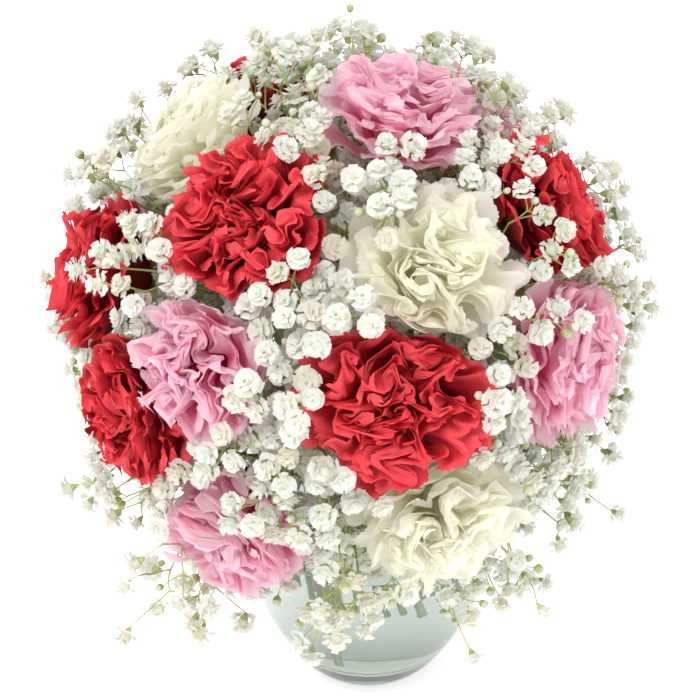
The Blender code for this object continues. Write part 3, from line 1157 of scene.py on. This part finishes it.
def clearMaterial(name, tint, depth, ior, waviness, waveScale):
    mat, tree, shader, out = newMaterial(name)
    wave = noiseNode(tree, waveScale, 2.0)
    shader.inputs["IOR"].default_value = ior
    shader.inputs["Transmission Weight"].default_value = 1.0
    smudge = noiseNode(tree, waveScale * 4, 3.0)
    tree.links.new(mathNode(tree, "MULTIPLY_ADD", smudge, 0.03, 0.0), shader.inputs["Roughness"])
    light = tuple(min(1.0, v * 1.015) for v in tint)
    tree.links.new(rampNode(tree, wave, ((0.3, tint), (0.7, light))), shader.inputs["Base Color"])
    bumpNode(tree, shader, wave, waviness, 0.0005)
    path = tree.nodes.new("ShaderNodeLightPath")
    clear = tree.nodes.new("ShaderNodeBsdfTransparent")
    clear.inputs["Color"].default_value = (*tint, 1.0)
    mix = tree.nodes.new("ShaderNodeMixShader")
    tree.links.new(path.outputs["Is Shadow Ray"], mix.inputs[0])
    tree.links.new(shader.outputs[0], mix.inputs[1])
    tree.links.new(clear.outputs[0], mix.inputs[2])
    tree.links.new(mix.outputs[0], out.inputs["Surface"])
    dim = tree.nodes.new("ShaderNodeVolumeAbsorption")
    dim.inputs["Color"].default_value = (*depth[0], 1.0)
    dim.inputs["Density"].default_value = depth[1]
    tree.links.new(dim.outputs[0], out.inputs["Volume"])
    return mat


def buildVase():
    s = vaseSettings
    outside = smoothProfile(s["outside"], 4)
    inside = smoothProfile(s["inside"], 4)
    wallTop, outer = s["outside"][-1]
    middle, half = (outer + s["inside"][0][1]) / 2, (outer - s["inside"][0][1]) / 2
    rim = [
        (wallTop + (s["rimHeight"] - wallTop) * math.sin(a), middle + half * math.cos(a))
        for a in np.linspace(0, math.pi, 9)[1:-1]
    ]
    ground = [(s["floorHeight"] + 0.0003, 0.010), (s["floorHeight"], 0.0)]
    vase = turnedBody("glass_vase", [(0.0, 0.0)] + outside + rim + inside + ground, s["segments"])
    glass = clearMaterial("clear vase glass", s["glassTint"], s["glassDepth"], 1.48, 0.06, 22.0)
    vase.data.materials.append(glass)
    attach(vase, "root")
    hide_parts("vase")
    # the water reaches a hair into the wall, so that no air shows between them
    level, into = s["waterLevel"], 0.00025
    wet = [(h - into * 0.5, r + into) for h, r in reversed(inside) if h < level]
    edge = np.interp(level, [h for h, r in reversed(inside)], [r for h, r in reversed(inside)]) + into
    bottom = [(s["floorHeight"] - into, 0.0), (s["floorHeight"] - into, 0.010)]
    surface = [(level + 0.0012, edge), (level + 0.0004, edge - 0.0012), (level, edge - 0.0040)]
    surface += [(level, edge * 0.5), (level, 0.0)]
    water = turnedBody("water", bottom + wet + surface, s["segments"])
    wetness = clearMaterial("vase water", s["waterTint"], s["waterDepth"], 1.33, 0.05, 30.0)
    water.data.materials.append(wetness)
    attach(water, "root")


buildVase()
print("vase and water made")

# floor, light and camera
stageSettings = {
    "floorSize": 8.0,
    "floorGlow": 0.45,
    "keyPower": 30.0,
    "fillPower": 9.0,
    "worldStrength": 0.92,
    "lens": 105.4,
    "cameraPlace": (0.0, -0.788, 0.8397),
    "cameraAim": (-0.00976, -0.00805, 0.2137),
}


def buildStage():
    s = stageSettings
    half = s["floorSize"] / 2
    corners = [(x * half, y * half, 0) for x, y in ((-1, -1), (1, -1), (1, 1), (-1, 1))]
    floor = linkNew("floor", meshFrom("floor", corners, [(0, 1, 2, 3)]))
    mat, _, shader, _ = newMaterial("white backdrop paper")
    shader.inputs["Base Color"].default_value = (0.92, 0.92, 0.92, 1)
    shader.inputs["Roughness"].default_value = 0.9
    shader.inputs["Emission Color"].default_value = (1, 1, 1, 1)
    shader.inputs["Emission Strength"].default_value = s["floorGlow"]
    floor.data.materials.append(mat)
    world = bpy.data.worlds.new("studio")
    world.use_nodes = True
    background = world.node_tree.nodes["Background"]
    background.inputs["Color"].default_value = (1, 1, 1, 1)
    background.inputs["Strength"].default_value = s["worldStrength"]
    bpy.context.scene.world = world
    for name, place, size, power in (
        ("key", (-0.9, -0.9, 2.1), 0.9, s["keyPower"]),
        ("fill", (1.4, -1.2, 1.2), 1.2, s["fillPower"]),
    ):
        data = bpy.data.lights.new(name, "AREA")
        data.shape = "DISK"
        data.size = size
        data.energy = power
        lamp = linkNew(name, data)
        lamp.location = place
        aim = Vector((0, 0, 0.2)) - Vector(place)
        lamp.rotation_euler = aim.to_track_quat("-Z", "Y").to_euler()


def buildCamera():
    s = stageSettings
    data = bpy.data.cameras.new("camera")
    data.sensor_width = 36.0
    data.lens = s["lens"]
    camera = linkNew("camera", data)
    camera.location = s["cameraPlace"]
    aim = Vector(s["cameraAim"]) - camera.location
    camera.rotation_euler = aim.to_track_quat("-Z", "Y").to_euler()
    bpy.context.scene.camera = camera
    bpy.context.scene.view_settings.view_transform = "Standard"


buildStage()
buildCamera()
print("stage ready")
